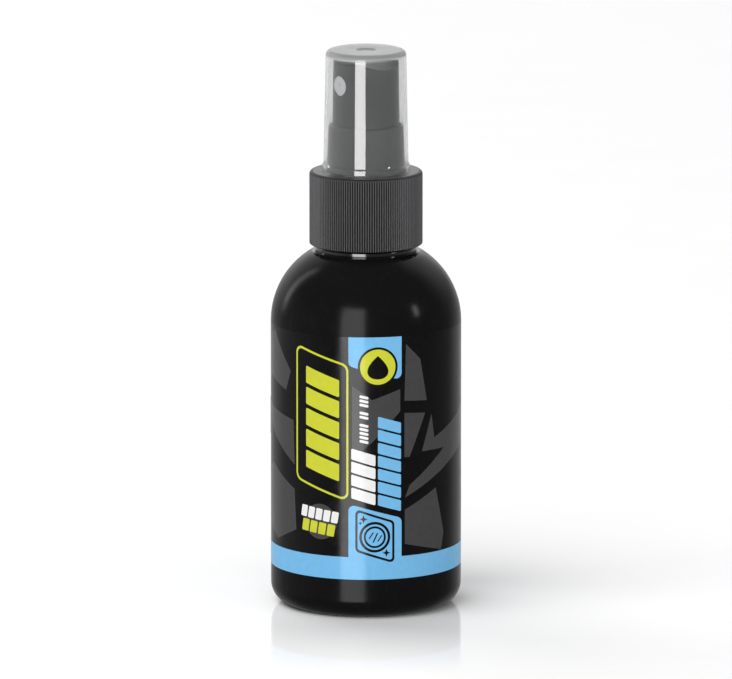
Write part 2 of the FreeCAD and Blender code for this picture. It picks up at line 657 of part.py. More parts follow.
write_parts({
    "bottle": bottle(),
    "label_wrap": label(),
    "closure": closure(),
    "neck_gasket": gasket(),
    "pump_cylinder": pump_cylinder(),
    "cylinder_seal": cylinder_seal(),
    "stem_guide": stem_guide(),
    "upper_stem": upper_stem(),
    "lower_stem": lower_stem(),
    "piston": piston(),
    "inlet_ball": valve_ball(),
    "return_spring": return_spring(),
    "dip_tube": dip_tube(),
    "actuator": actuator(),
    "nozzle_insert": nozzle_insert(),
    "overcap": overcap(),
})
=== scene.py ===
import math

import bmesh
import bpy
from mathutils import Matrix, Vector
from mathutils.geometry import tessellate_polygon


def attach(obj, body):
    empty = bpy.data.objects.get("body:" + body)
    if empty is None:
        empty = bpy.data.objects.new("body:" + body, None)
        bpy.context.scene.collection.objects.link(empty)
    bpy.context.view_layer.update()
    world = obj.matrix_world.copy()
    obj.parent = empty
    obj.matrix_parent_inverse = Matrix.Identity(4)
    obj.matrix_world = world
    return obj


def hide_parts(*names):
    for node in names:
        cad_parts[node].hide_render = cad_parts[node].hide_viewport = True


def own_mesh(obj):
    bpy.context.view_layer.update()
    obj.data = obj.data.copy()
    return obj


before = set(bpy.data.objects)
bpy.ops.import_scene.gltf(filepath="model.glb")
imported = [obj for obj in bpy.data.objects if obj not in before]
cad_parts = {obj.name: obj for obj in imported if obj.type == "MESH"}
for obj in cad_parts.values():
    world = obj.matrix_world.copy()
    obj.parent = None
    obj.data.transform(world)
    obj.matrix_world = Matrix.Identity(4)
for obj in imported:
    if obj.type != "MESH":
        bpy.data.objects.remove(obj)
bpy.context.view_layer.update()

# Looks for the lens cleaning spray. Outlines are in millimetres, as (radius, height above the base) pairs.
# On the label, a place is (distance round from the front, height above the base), also in millimetres.
# Materials, lamps, cards and the camera use metres.
MM = 0.001

# The view: the camera's distance and aim in metres, its elevation in degrees, and the width it takes in
CAMERA_DISTANCE = 3.5
CAMERA_ELEVATION = 11
CAMERA_AIM_Z = 0.0650
VIEW_WIDTH = 0.1786

# The bottle, with its mould parting line and its screw thread
BOTTLE_R = 23.2
SHOULDER_Z = 70.0
PARTING_RISE = 0.035
PARTING_WIDTH = 0.16
THREAD_ROOT_R = 10.65
THREAD_START_Z = 97.0
THREAD_PITCH = 3.175
THREAD_TURNS = 1.5

# The label's film and inks. HALF_LAP is the angle of half the lap, and FACET that of one flat strip of ink.
FILM_R = 23.24
FILM_THICKNESS = 0.04
LAP_RISE = 0.06
HALF_LAP = 2.5 / FILM_R
INK_THICKNESS = 0.008
FACET = math.radians(1.5)
LABEL_BOTTOM = 10.0
LABEL_TOP = 70.0
BAND_TOP = 15.56

# The closure's grip
RIBS = 144
RIB_DEPTH = 0.3
GRIP_ROOT_R = 13.2


# Shapes

def rounded(corners, step=6):
    """Points along a closed outline. A corner's third number is its radius, and its arc is cut into pieces
    of at most step degrees."""
    points = []
    for i, corner in enumerate(corners):
        here = Vector(corner[:2])
        if len(corner) < 3:
            points.append(here)
            continue
        to_last = (Vector(corners[i - 1][:2]) - here).normalized()
        to_next = (Vector(corners[(i + 1) % len(corners)][:2]) - here).normalized()
        half = to_last.angle(to_next) / 2
        centre = here + (to_last + to_next).normalized() * (corner[2] / math.sin(half))
        start = here + to_last * (corner[2] / math.tan(half)) - centre
        end = here + to_next * (corner[2] / math.tan(half)) - centre
        sweep = start.angle_signed(end)
        pieces = max(2, math.ceil(abs(math.degrees(sweep)) / step))
        for k in range(pieces + 1):
            angle = -sweep * k / pieces
            c = math.cos(angle)
            s = math.sin(angle)
            points.append(centre + Vector((start.x * c - start.y * s, start.x * s + start.y * c)))
    return points


def mesh_object(name, mesh, material):
    data = bpy.data.meshes.new(name)
    mesh.to_mesh(data)
    mesh.free()
    data.materials.append(material)
    made = bpy.data.objects.new(name, data)
    bpy.context.scene.collection.objects.link(made)
    return made


def finish_mesh(name, mesh, body, material, sharp=35):
    """Make the mesh a smooth piece that rides on a body. Edges over sharp degrees stay crisp."""
    bmesh.ops.recalc_face_normals(mesh, faces=mesh.faces)
    piece = mesh_object(name, mesh, material)
    piece.data.shade_smooth()
    piece.data.set_sharp_from_angle(angle=math.radians(sharp))
    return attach(piece, body)


def around(radius, angle, height):
    """A point on a circle about Z, with angle 0 at the front (-Y) and growing towards +X."""
    return Vector((radius * math.sin(angle), -radius * math.cos(angle), height)) * MM


def lathe(outline, segments=192, radius_at=None):
    """The outline turned about Z. radius_at(radius, height, angle) may carve it."""
    mesh = bmesh.new()
    rings = []
    for radius, height in outline:
        if radius < 1e-6:
            rings.append([mesh.verts.new((0, 0, height * MM))])
            continue
        ring = []
        for i in range(segments):
            angle = 2 * math.pi * i / segments
            carved = radius_at(radius, height, angle) if radius_at else radius
            ring.append(mesh.verts.new(around(carved, angle, height)))
        rings.append(ring)
    for lower, upper in zip(rings, rings[1:] + rings[:1]):
        if len(lower) == len(upper) == 1:
            continue
        for i in range(segments):
            j = (i + 1) % segments
            loop = [
                lower[i % len(lower)], lower[j % len(lower)],
                upper[j % len(upper)], upper[i % len(upper)],
            ]
            mesh.faces.new(dict.fromkeys(loop))
    return mesh


def swept(section, path_point, steps):
    """A section of (outward, upward) offsets carried along a path. path_point(share) gives the radius,
    angle and height of a place on the path, and the section's scale there."""
    mesh = bmesh.new()
    rings = []
    for i in range(steps + 1):
        radius, angle, height, scale = path_point(i / steps)
        rings.append([
            mesh.verts.new(around(radius + outward * scale, angle, height + upward * scale))
            for outward, upward in section
        ])
    for last, following in zip(rings, rings[1:]):
        for i in range(len(section)):
            j = (i + 1) % len(section)
            mesh.faces.new((last[i], last[j], following[j], following[i]))
    mesh.faces.new(rings[0])
    mesh.faces.new(rings[-1])
    return mesh


def film_rise(angle):
    """How far the film stands off where its free end laps over its start. It climbs over 0.02 radians."""
    return LAP_RISE * min(1, max(0, (angle - math.pi + HALF_LAP) / 0.02))


def printed(name, shapes, layer, material):
    """Flat areas of ink, cut into strips and wrapped onto the film. A shape is a list of closed loops, its
    outline and then its holes."""
    mesh = bmesh.new()
    for loops in shapes:
        flat = [[Vector((x, z, 0)) for x, z in loop] for loop in loops]
        verts = [mesh.verts.new(place) for loop in flat for place in loop]
        for triangle in tessellate_polygon(flat):
            mesh.faces.new([verts[i] for i in triangle])
    reach = [vert.co.x / (FACET * FILM_R) for vert in mesh.verts]
    for k in range(math.floor(min(reach)) + 1, math.ceil(max(reach))):
        everything = mesh.verts[:] + mesh.edges[:] + mesh.faces[:]
        cut = Vector((k * FACET * FILM_R, 0, 0))
        bmesh.ops.bisect_plane(mesh, geom=everything, plane_co=cut, plane_no=Vector((1, 0, 0)))
    for vert in mesh.verts:
        angle = vert.co.x / FILM_R
        vert.co = around(FILM_R + layer * INK_THICKNESS + film_rise(angle), angle, vert.co.y)
    piece = finish_mesh(name, mesh, "bottle", material)
    return piece


# Materials

class Tree:
    """A material's nodes, with short ways to add the ones that the finishes here share."""

    def __init__(self, name):
        self.material = bpy.data.materials.new(name)
        self.material.use_nodes = True
        self.nodes = self.material.node_tree.nodes
        self.links = self.material.node_tree.links
        self.shader = self.nodes["Principled BSDF"]
        self.place = self.nodes.new("ShaderNodeTexCoord").outputs["Object"]

    def feed(self, socket, value):
        """Link an input to another node's output, or set it to a plain value."""
        if isinstance(value, bpy.types.NodeSocket):
            self.links.new(value, socket)
        else:
            socket.default_value = value

    def set(self, **values):
        for name, value in values.items():
            self.feed(self.shader.inputs[name.replace("_", " ")], value)
        return self

    def node(self, kind, **inputs):
        made = self.nodes.new(kind)
        for name, value in inputs.items():
            self.feed(made.inputs[name.replace("_", " ")], value)
        return made

    def calculated(self, operation, *values):
        made = self.nodes.new("ShaderNodeMath")
        made.operation = operation
        for socket, value in zip(made.inputs, values):
            self.feed(socket, value)
        return made.outputs["Value"]

    def height(self):
        return self.node("ShaderNodeSeparateXYZ", Vector=self.place).outputs["Z"]

    def distance(self, place):
        """How far a place is from the origin."""
        made = self.node("ShaderNodeVectorMath", Vector=place)
        made.operation = "LENGTH"
        return made.outputs["Value"]

    def stretched(self, x, y, z):
        return self.node("ShaderNodeMapping", Vector=self.place, Scale=(x, y, z)).outputs["Vector"]

    def noise(self, scale, detail=3.0, place=None):
        made = self.node("ShaderNodeTexNoise", Vector=place or self.place, Scale=scale, Detail=detail)
        return made.outputs["Fac"]

    def ramp(self, value, low, high, from_low=0.3, from_high=0.7):
        """low to high, while value goes from from_low to from_high."""
        made = self.node(
            "ShaderNodeMapRange", Value=value,
            From_Min=from_low, From_Max=from_high, To_Min=low, To_Max=high,
        )
        return made.outputs["Result"]

    def mixed(self, share, a, b):
        """The colour between a and b, by way of the mix node's colour sockets: inputs 6 and 7, output 2."""
        made = self.nodes.new("ShaderNodeMix")
        made.data_type = "RGBA"
        self.links.new(share, made.inputs["Factor"])
        for socket, colour in ((made.inputs[6], a), (made.inputs[7], b)):
            self.feed(socket, colour if isinstance(colour, bpy.types.NodeSocket) else (*colour, 1))
        return made.outputs[2]

    def edges(self, low=0.52, high=0.6):
        """Near 1 on worn outer edges, from the mesh's own pointiness."""
        return self.ramp(self.nodes.new("ShaderNodeNewGeometry").outputs["Pointiness"], 0, 1, low, high)

    def colour(self, socket):
        return self.set(Base_Color=socket)

    def roughness(self, socket):
        return self.set(Roughness=socket)

    def bump(self, *heights):
        """Stacked bumps, each (height socket, strength, depth in metres)."""
        normal = None
        for height, strength, depth in heights:
            made = self.node("ShaderNodeBump", Height=height, Strength=strength, Distance=depth)
            if normal:
                self.links.new(normal, made.inputs["Normal"])
            normal = made.outputs["Normal"]
        return self.set(Normal=normal)


def bottle_black():
    """Glossy black PET: slow waves from the mould, fine scuffs, a duller foot and a glossier neck."""
    t = Tree("bottle_black").set(Specular_IOR_Level=0.05, IOR=1.57, Coat_IOR=1.5, Coat_Roughness=0.1)
    neck = t.ramp(t.height(), 0, 1, 0.0872, 0.0875)
    foot = t.ramp(t.height(), 1, 0, 0.0, 0.0035)
    scuffs = t.ramp(t.noise(900, 6, t.stretched(1, 1, 0.25)), 0, 1, 0.56, 0.74)
    t.colour(t.mixed(scuffs, (0.005, 0.005, 0.0053), (0.0075, 0.0075, 0.0078)))
    fine = t.ramp(t.noise(260, 4), 0.14, 0.2)
    t.set(Coat_Weight=neck, Roughness=t.calculated("MULTIPLY_ADD", foot, 0.3, fine))
    return t.bump((t.noise(45, 1), 0.18, 0.0004), (t.noise(1400, 4), 0.04, 0.00005)).material


def ink(name, colour, variation=0.06):
    """Gloss film: ink with faint print mottle, over a film that isn't quite flat."""
    t = Tree(name).set(Specular_IOR_Level=0.14, IOR=1.5)
    lighter = tuple(min(1, c * (1 + variation) + 0.002) for c in colour)
    t.colour(t.mixed(t.ramp(t.noise(700, 5), 0, 1), colour, lighter))
    t.roughness(t.ramp(t.noise(330, 4), 0.13, 0.21))
    return t.bump((t.noise(60, 2), 0.1, 0.0003), (t.noise(2500, 3), 0.05, 0.00003)).material


def satin_plastic(name, colour, worn, rough=(0.36, 0.48)):
    """Moulded polypropylene: a fine spark-eroded grain, and lighter rubbed edges."""
    t = Tree(name).set(Specular_IOR_Level=0.45, IOR=1.49)
    speckle = t.ramp(t.noise(3000, 4), 0, 1)
    body = t.mixed(speckle, colour, tuple(c * 1.18 for c in colour))
    t.colour(t.mixed(t.edges(), body, worn))
    t.roughness(t.ramp(t.noise(800, 5), *rough))
    return t.bump((t.noise(5200, 5), 0.25, 0.00006), (t.noise(120, 2), 0.1, 0.0003)).material


def ribbed_plastic():
    """The closure's grip: a painted highlight along the crests of its ribs and at the grip's top edge, and
    painted shade down in the grooves.
    """
    t = Tree("ribbed_black").set(Specular_IOR_Level=0.1, IOR=1.49)
    from_axis = t.distance(t.stretched(1, 1, 0))
    # Painted light: the crests and the grip's top edge take a light grey as a painted highlight, and the
    # grooves take a near-black as painted shade.
    crest = t.ramp(from_axis, 0, 1, 0.01355, 0.01379)
    top_edge_highlight = t.ramp(t.height(), 0, 0.12, 0.1062, 0.1066)
    painted_light_share = t.calculated("MAXIMUM", crest, top_edge_highlight)
    speckle = t.ramp(t.noise(3000, 4), 0, 1)
    bright = t.mixed(speckle, (0.115, 0.116, 0.12), (0.145, 0.146, 0.15))
    t.colour(t.mixed(painted_light_share, (0.003, 0.003, 0.0032), bright))
    t.roughness(t.ramp(t.noise(800, 5), 0.34, 0.46))
    return t.bump((t.noise(5200, 5), 0.25, 0.00006)).material


def clear_plastic():
    """Clear moulded polypropylene. Its roof is hazier, and the darker grey there is painted shade over the
    top of the cap. Its thin wall bends light little, and a coat gives it the mirror of solid plastic."""
    t = Tree("clear_plastic").set(IOR=1.12, Coat_Roughness=0.03, Coat_IOR=1.6)
    # Painted shade: over the roof the colour turns a darker grey and only half the light passes, which holds
    # down the light that gathers on the top of the cap.
    roof_shade = t.ramp(t.height(), 0, 1, 0.135, 0.136)
    wall = t.mixed(t.ramp(t.noise(90, 3), 0, 1), (0.77, 0.775, 0.78), (0.81, 0.815, 0.82))
    t.colour(t.mixed(roof_shade, wall, (0.38, 0.384, 0.388)))
    t.set(Transmission_Weight=t.ramp(roof_shade, 0.99, 0.5, 0, 1), Coat_Weight=t.ramp(roof_shade, 1, 0, 0, 1))
    t.roughness(t.ramp(t.noise(420, 4, t.stretched(1, 1, 0.3)), 0.02, 0.06))
    return t.bump((t.noise(110, 1, t.stretched(1, 1, 0.2)), 0.12, 0.0003)).material


def natural_plastic():
    """Uncoloured polyethylene: milky, waxy and a little see-through."""
    t = Tree("natural_plastic").set(IOR=1.5, Transmission_Weight=0.35, Subsurface_Weight=0.5)
    t.set(Subsurface_Radius=(0.003, 0.003, 0.003), Subsurface_Scale=0.5, Specular_IOR_Level=0.4)
    t.colour(t.mixed(t.ramp(t.noise(300, 3), 0, 1), (0.78, 0.79, 0.78), (0.86, 0.86, 0.84)))
    t.roughness(t.ramp(t.noise(500, 4), 0.28, 0.42))
    return t.bump((t.noise(1800, 4), 0.15, 0.00005)).material


def white_plastic():
    t = Tree("white_plastic").set(Subsurface_Weight=0.2, Subsurface_Scale=0.001, Specular_IOR_Level=0.45)
    t.colour(t.mixed(t.ramp(t.noise(240, 3), 0, 1), (0.8, 0.8, 0.78), (0.86, 0.86, 0.84)))
    t.roughness(t.ramp(t.noise(700, 4), 0.3, 0.45))
    return t.bump((t.noise(2600, 4), 0.2, 0.00005)).material


def insert_grey():
    """The nozzle's light grey acetal."""
    t = Tree("insert_grey").set(Specular_IOR_Level=0.45, IOR=1.48)
    t.colour(t.mixed(t.ramp(t.noise(900, 4), 0, 1), (0.62, 0.625, 0.63), (0.67, 0.675, 0.68)))
    t.roughness(t.ramp(t.noise(1500, 4), 0.3, 0.42))
    return t.bump((t.noise(4000, 4), 0.1, 0.00002)).material


def gasket_foam():
    """Foamed polyethylene, with its closed cells showing."""
    t = Tree("gasket_foam").set(Specular_IOR_Level=0.25)
    cells = t.node("ShaderNodeTexVoronoi", Vector=t.place, Scale=2600.0).outputs["Distance"]
    t.colour(t.mixed(t.ramp(cells, 0, 1, 0.1, 0.7), (0.86, 0.86, 0.83), (0.7, 0.7, 0.67)))
    t.roughness(t.ramp(t.noise(900, 4), 0.7, 0.85))
    return t.bump((cells, 0.5, 0.0001)).material


def seal_rubber():
    t = Tree("seal_rubber").set(Specular_IOR_Level=0.3)
    t.colour(t.mixed(t.ramp(t.noise(1500, 5), 0, 1), (0.018, 0.018, 0.018), (0.035, 0.034, 0.033)))
    t.roughness(t.ramp(t.noise(700, 4), 0.6, 0.8))
    return t.bump((t.noise(3000, 5), 0.35, 0.00006)).material


def spring_steel():
    """Drawn stainless wire: fine lines along it and a few darker spots."""
    t = Tree("spring_steel").set(Metallic=1.0, Anisotropic=0.4)
    t.colour(t.mixed(t.ramp(t.noise(1200, 5), 0, 1, 0.45, 0.75), (0.62, 0.62, 0.61), (0.4, 0.39, 0.37)))
    drawn = t.noise(6000, 3, t.stretched(0.12, 0.12, 1))
    t.roughness(t.ramp(drawn, 0.2, 0.36))
    return t.bump((drawn, 0.2, 0.00003)).material


def ball_steel():
    t = Tree("ball_steel").set(Metallic=1.0)
    t.colour(t.mixed(t.ramp(t.noise(900, 4), 0, 1), (0.68, 0.68, 0.69), (0.6, 0.6, 0.6)))
    t.roughness(t.ramp(t.noise(2000, 4), 0.06, 0.14))
    return t.bump((t.noise(2600, 3), 0.05, 0.00002)).material


def floor_white():
    """The table: dull white board, polished under the bottle and just in front of it."""
    t = Tree("floor_white").set(Specular_IOR_Level=0, Roughness=0.6, Coat_IOR=1.5)
    t.colour(t.mixed(t.ramp(t.noise(35, 4), 0, 1), (0.865, 0.865, 0.865), (0.875, 0.875, 0.875)))
    patch = t.node("ShaderNodeMapping", Vector=t.place, Location=(0, 0.03, 0), Scale=(0.45, 1, 1))
    away = t.distance(patch.outputs["Vector"])
    t.set(Coat_Weight=t.ramp(away, 1.0, 0.0, 0.002, 0.055))
    return t.set(Coat_Roughness=t.ramp(t.noise(60, 3), 0.02, 0.05)).material


# Pieces

def shoulder(radius, wall_r, turn):
    """The shoulder's corner and end: an arc that leaves the wall upright and turns in by turn degrees."""
    angle = math.radians(turn)
    corner = (wall_r, SHOULDER_Z + radius * math.tan(angle / 2), radius)
    end = (wall_r - radius * (1 - math.cos(angle)), SHOULDER_Z + radius * math.sin(angle))
    return [corner, end]


def bottle_outline():
    """The blown bottle, outside from the base's push-up to the lip and then back down the inside."""
    outside = [
        (0, 3), (7.47, 3, 41.7), (14.47, 0.41), (15.5, 0, 0.6), (BOTTLE_R, 0, 5),
        *shoulder(20, BOTTLE_R, 60),
        (12.0, 87.35), (12.0, 87.6), (12.45, 87.6, 0.25), (12.45, 88.7, 0.35), (10.7, 88.7, 0.3),
        (10.7, 104, 0.4), (8.8, 104, 0.3),
    ]
    inside = [
        (8.8, 88.4, 2), *reversed(shoulder(19.1, 22.3, 66)), (22.3, 1, 4.1), (15.2, 1, 0.8), (14.3, 1.5),
        (7.47, 4, 41.7), (0, 4),
    ]
    return rounded(outside + inside, 5)


def parted(radius, height, angle):
    """A hair-thin mould parting line at each side, clear of the base and of the neck."""
    if radius <= 14 or height <= 0.5:
        return radius
    off = math.cos(angle) * radius
    return radius + PARTING_RISE * math.exp(-(off / PARTING_WIDTH) ** 2)


def thread_path(share):
    """The neck's thread rises by its pitch in each turn, and tapers over a fourteenth of its length at
    each end."""
    turn = THREAD_TURNS * share
    full = min(1, share * 14, (1 - share) * 14)
    angle = math.pi / 2 + 2 * math.pi * turn
    return THREAD_ROOT_R, angle, THREAD_START_Z + THREAD_PITCH * turn, 0.15 + 0.85 * full


def make_bottle():
    material = bottle_black()
    piece = finish_mesh("bottle_body", lathe(bottle_outline(), 384, parted), "bottle", material)
    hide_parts("bottle")
    section = [(0, -1), (1.15, -0.5), (1.15, 0.5), (0, 1)]
    thread = finish_mesh("bottle_thread", swept(section, thread_path, 160), "bottle", material)


def ribbed(radius, height, angle):
    """Narrow crests between wider grooves, fading out over the grip's top edge."""
    if radius <= GRIP_ROOT_R:
        return radius
    crest = (0.5 + 0.5 * math.cos(angle * RIBS)) ** 1.5
    fade = min(1, max(0, (106.75 - height) / 0.5))
    return radius - RIB_DEPTH * fade * (1 - crest)


def make_closure():
    """The plain walls, then the ribbed grip as its own ring round them."""
    material = satin_plastic("closure_black", (0.03, 0.0303, 0.0313), (0.05, 0.0507, 0.053), (0.3, 0.4))
    outside = [
        (12.5, 89.1), (GRIP_ROOT_R, 89.1), (GRIP_ROOT_R, 106.4), (13.0, 107, 0.2), (9.9, 107),
        (9.9, 108.3, 0.3), (9.5, 108.3), (9.1, 118.5, 0.5),
    ]
    inside = [
        (8.45, 118.5, 0.1), (8.45, 106), (11.6, 106), (11.6, 104.9), (11.2, 104.6), (11.2, 104.35),
        (12.1, 103.8), (12.1, 89.6),
    ]
    shell = finish_mesh("closure_shell", lathe(rounded(outside + inside)), "closure", material)
    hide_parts("closure")
    grip = rounded([(12.9, 89), (13.8, 89, 0.3), (13.8, 106.98, 0.8), (12.9, 106.98)], 10)
    ring = finish_mesh("closure_grip", lathe(grip, RIBS * 10, ribbed), "closure", ribbed_plastic(), 50)
    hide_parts("closure")


def make_overcap():
    """The clear cap. Each long wall has a second point near its foot, which keeps the shading of its long
    faces even."""
    outside = [
        (0, 136.5), (2.2, 136.5, 0.1), (2.35, 136.8, 0.1), (9.78, 136.8, 1.3), (10.335, 109.7),
        (10.35, 109.0), (10.62, 108.6, 0.2), (10.65, 107.04, 0.2),
    ]
    inside = [(9.95, 107.04, 0.1), (9.9, 108.4), (9.88, 109.1), (9.08, 135.9, 0.8), (0, 135.9)]
    mesh = lathe(rounded(outside + inside), 256)
    piece = finish_mesh("overcap_shell", mesh, "overcap", clear_plastic(), 60)
    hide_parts("overcap")


def make_spring():
    """The return spring's wire, in one fixed shape; the real spring is squashed as the button goes down. low
    and high are the heights of the wire's ends, and closed is the rise of the last turn at each end."""
    wire_r = 0.25
    coil_r = 2.45
    low = 82.27
    high = 95.33
    turns = 9.5
    closed = 0.525

    def coil(share):
        turn = turns * share
        opened = min(max(turn - 1, 0), turns - 2)
        rise = (high - low - 2 * closed) / (turns - 2)
        height = low + opened * rise + (turn - opened) * closed
        return coil_r, math.pi / 2 + 2 * math.pi * turn, height, 1

    angles = [math.radians(30 * k) for k in range(12)]
    wire = [(wire_r * math.cos(a), wire_r * math.sin(a)) for a in angles]
    piece = finish_mesh("spring_wire", swept(wire, coil, 560), "pump", spring_steel(), 60)
    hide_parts("return_spring")
    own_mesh(piece)


def make_film(material):
    """One turn of film, its free end lapped over its start at the back."""
    steps = 250
    mesh = bmesh.new()
    rows = []
    for i in range(steps + 1):
        angle = -math.pi - HALF_LAP + 2 * (math.pi + HALF_LAP) * i / steps
        outer = FILM_R + film_rise(angle)
        inner = outer - FILM_THICKNESS
        corners = [(outer, LABEL_BOTTOM), (outer, LABEL_TOP), (inner, LABEL_TOP), (inner, LABEL_BOTTOM)]
        rows.append([mesh.verts.new(around(radius, angle, height)) for radius, height in corners])
    for last, following in zip(rows, rows[1:]):
        for k in range(len(last)):
            mesh.faces.new((last[k], last[k - 1], following[k - 1], following[k]))
    mesh.faces.new(rows[0])
    mesh.faces.new(rows[-1])
    piece = finish_mesh("label_film", mesh, "bottle", material)
    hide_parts("label_wrap")


def dress_cad_nodes():
    """The CAD pieces that keep their own shape get their finish here."""
    natural = natural_plastic()
    white = white_plastic()
    dark = satin_plastic("actuator_grey", (0.015, 0.0152, 0.0157), (0.028, 0.0283, 0.0293), (0.3, 0.4))
    finishes = {
        "actuator": dark, "nozzle_insert": insert_grey(), "neck_gasket": gasket_foam(),
        "cylinder_seal": seal_rubber(), "inlet_ball": ball_steel(),
        "stem_guide": white, "lower_stem": white,
        "pump_cylinder": natural, "upper_stem": natural, "piston": natural, "dip_tube": natural,
    }
    for node, material in finishes.items():
        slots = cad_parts[node].data.materials
        slots.clear()
        slots.append(material)


# Label art: generic shapes only, with bars and blocks in the place of words

def block(x, z, width, height, drop, lean=0.0, corner=0.3):
    """A rounded parallelogram from its lower left corner. Its right side is lower by drop, and its top is
    further right by lean."""
    return rounded([
        (x, z, corner), (x + width, z - drop, corner), (x + width + lean, z + height - drop, corner),
        (x + lean, z + height, corner),
    ], 15)


def marks(x, z, count, step, width, height, drop, lean=0.0):
    """Evenly spaced blocks in the place of a word. step is the way from one to the next."""
    return [[block(x + i * step[0], z + i * step[1], width, height, drop, lean)] for i in range(count)]


# The angles of a full turn, for the label's round shapes
TURN = [2 * math.pi * k / 48 for k in range(48)]


def disc(x, z, radius):
    return [Vector((x + radius * math.cos(a), z + radius * math.sin(a))) for a in TURN]


def droplet(x, z, radius):
    """A drop with its point at the top."""
    width = 1.15 * radius
    return [Vector((x - width * math.sin(a) * math.sin(a / 2), z + radius * math.cos(a))) for a in TURN]


def sparkle(x, z, radius):
    """A star with four points."""
    reach = [(radius if k % 2 == 0 else radius * 0.4, math.pi * k / 4) for k in range(8)]
    return [Vector((x + r * math.cos(a), z + r * math.sin(a))) for r, a in reach]


# The outlines of the grey shards behind the words
SHARDS = [
    [(-36, 66), (-29, 69), (-21, 60), (-23, 55), (-34, 58)],
    [(-38, 51), (-20, 48), (-19.6, 37), (-29, 43)],
    [(-38, 33), (-30, 36), (-19.6, 31), (-19, 21), (-27, 17.5), (-36, 21)],
    [(-3.4, 58), (1.5, 54.5), (8.5, 57), (8.5, 51.5), (1.5, 44), (-3.4, 40)],
    [(10, 68), (14, 64), (16, 53.5), (9.6, 54)],
    [(9.6, 51), (15.5, 50.5), (11, 40), (9.6, 40)],
    [(17.5, 50), (18.5, 44), (36, 51), (36, 42), (24, 37), (9.8, 30), (11, 33), (22, 41), (14.5, 41)],
    [(19, 31.5), (22, 20), (21, 15.8), (9.7, 18.5), (9.7, 27)],
]


def back_text():
    """Rows of small bars round the back, in the place of a paragraph. Widths and row ends vary by rule."""
    left = 54.0
    right = 90
    top = 60
    row_step = 2.6
    gap = 0.8
    shapes = []
    for row in range(13):
        x = left
        while x < right - row % 3 * 4:
            width = 1.6 + (row * 5 + round(x) * 3) % 4 * 0.9
            shapes.append([block(x, top - row * row_step, width, 1.0, 0, 0, 0.2)])
            x += width + gap
    return shapes


# The step of both upright words, the sides of the tab and panel, and the centres of the emblem and rings
WORD_STEP = (0, 3.21)
PANEL_LEFT = -4.3
PANEL_RIGHT = 8.85
EMBLEM = (2.9, 62.65)
RINGS = (2.15, 20.56)


def grey_shapes():
    """The shards, once at the front and once at the back, and a disc under the caption."""
    half_turn = math.pi * FILM_R
    shards = [[[(x + turn, z) for x, z in loop]] for loop in SHARDS for turn in (0, half_turn)]
    return [*shards, [disc(-11.6, 23.9, 4.4)]]


def blue_shapes():
    """A band all round the foot, a tab at the top, a panel above the band, and one upright word."""
    start = (HALF_LAP - math.pi) * FILM_R
    end = (HALF_LAP + math.pi) * FILM_R
    band = [(start, LABEL_BOTTOM), (end, LABEL_BOTTOM), (end, BAND_TOP), (start, BAND_TOP)]
    tab = rounded([
        (PANEL_LEFT, LABEL_TOP), (PANEL_LEFT, 62.9, 1.4),
        (PANEL_RIGHT, 59.2, 1.4), (PANEL_RIGHT, LABEL_TOP),
    ], 15)
    panel = rounded([
        (PANEL_LEFT, BAND_TOP), (PANEL_RIGHT, BAND_TOP),
        (PANEL_RIGHT, 25.1, 1.4), (PANEL_LEFT, 28.8, 1.4),
    ], 15)
    return [[band], [tab], [panel], *marks(2.9, 28.45, 7, WORD_STEP, 5.8, 2.72, 1.75)]


def lime_shapes(frame_outline):
    """The frame's border, the bars inside it, and the small words under it."""
    hole = rounded([(-18.4, 34.3, 1.8), (-4.8, 30.0, 1.2), (-4.8, 62.7, 1.8), (-18.4, 66.6, 1.2)], 10)
    bars = marks(-15.7, 37.1, 5, (0, 5.2), 9.1, 4.25, 2.9)
    small_words = marks(-17, 21.4, 4, (2.35, -0.27), 1.95, 2.9, 0.22, 0.45)
    return [[frame_outline, hole], *bars, *small_words]


def white_shapes():
    """The other upright word, the thin words beside it, the caption, and the paragraph at the back."""
    bold_words = marks(-3.6, 30.2, 4, WORD_STEP, 5.9, 2.72, 1.77)
    thin_words = []
    for z, count in ((44.1, 5), (50.1, 2), (53.1, 3)):
        thin_words += marks(-1.6, z, count, (0, 1.0), 2.2, 0.68, 0.5)
    caption = marks(-17.3, 24.9, 5, (2.12, -0.25), 1.75, 2.8, 0.2, 0.45)
    return [*bold_words, *thin_words, *caption, *back_text()]


def black_shapes():
    """The icon's border, its two rings, its glints and stars, and the ring round the emblem."""
    icon = rounded([(-2.6, 17.0, 1.3), (7.0, 13.9, 1.0), (7.0, 24.4, 1.3), (-2.6, 27.6, 1.0)], 10)
    hole = rounded([(-2.05, 17.42, 0.9), (6.45, 14.65, 0.6), (6.45, 24.0, 0.9), (-2.05, 26.85, 0.6)], 10)
    rings = [[disc(*RINGS, r), disc(*RINGS, r - wide)] for r, wide in ((3.8, 0.62), (2.7, 0.5))]
    glint_places = ((0.5, 20.0, 1.7), (1.5, 19.1, 2.4), (2.6, 19.3, 1.7))
    glints = [[block(x, z, 0.45, height, -0.2, 1.1, 0.1)] for x, z, height in glint_places]
    stars = [[sparkle(x, z, r)] for x, z, r in ((-0.6, 25.0, 1.0), (5.0, 16.6, 1.0), (-1.4, 24.0, 0.5))]
    return [[icon, hole], *rings, *glints, *stars, [disc(*EMBLEM, 4.9)]]


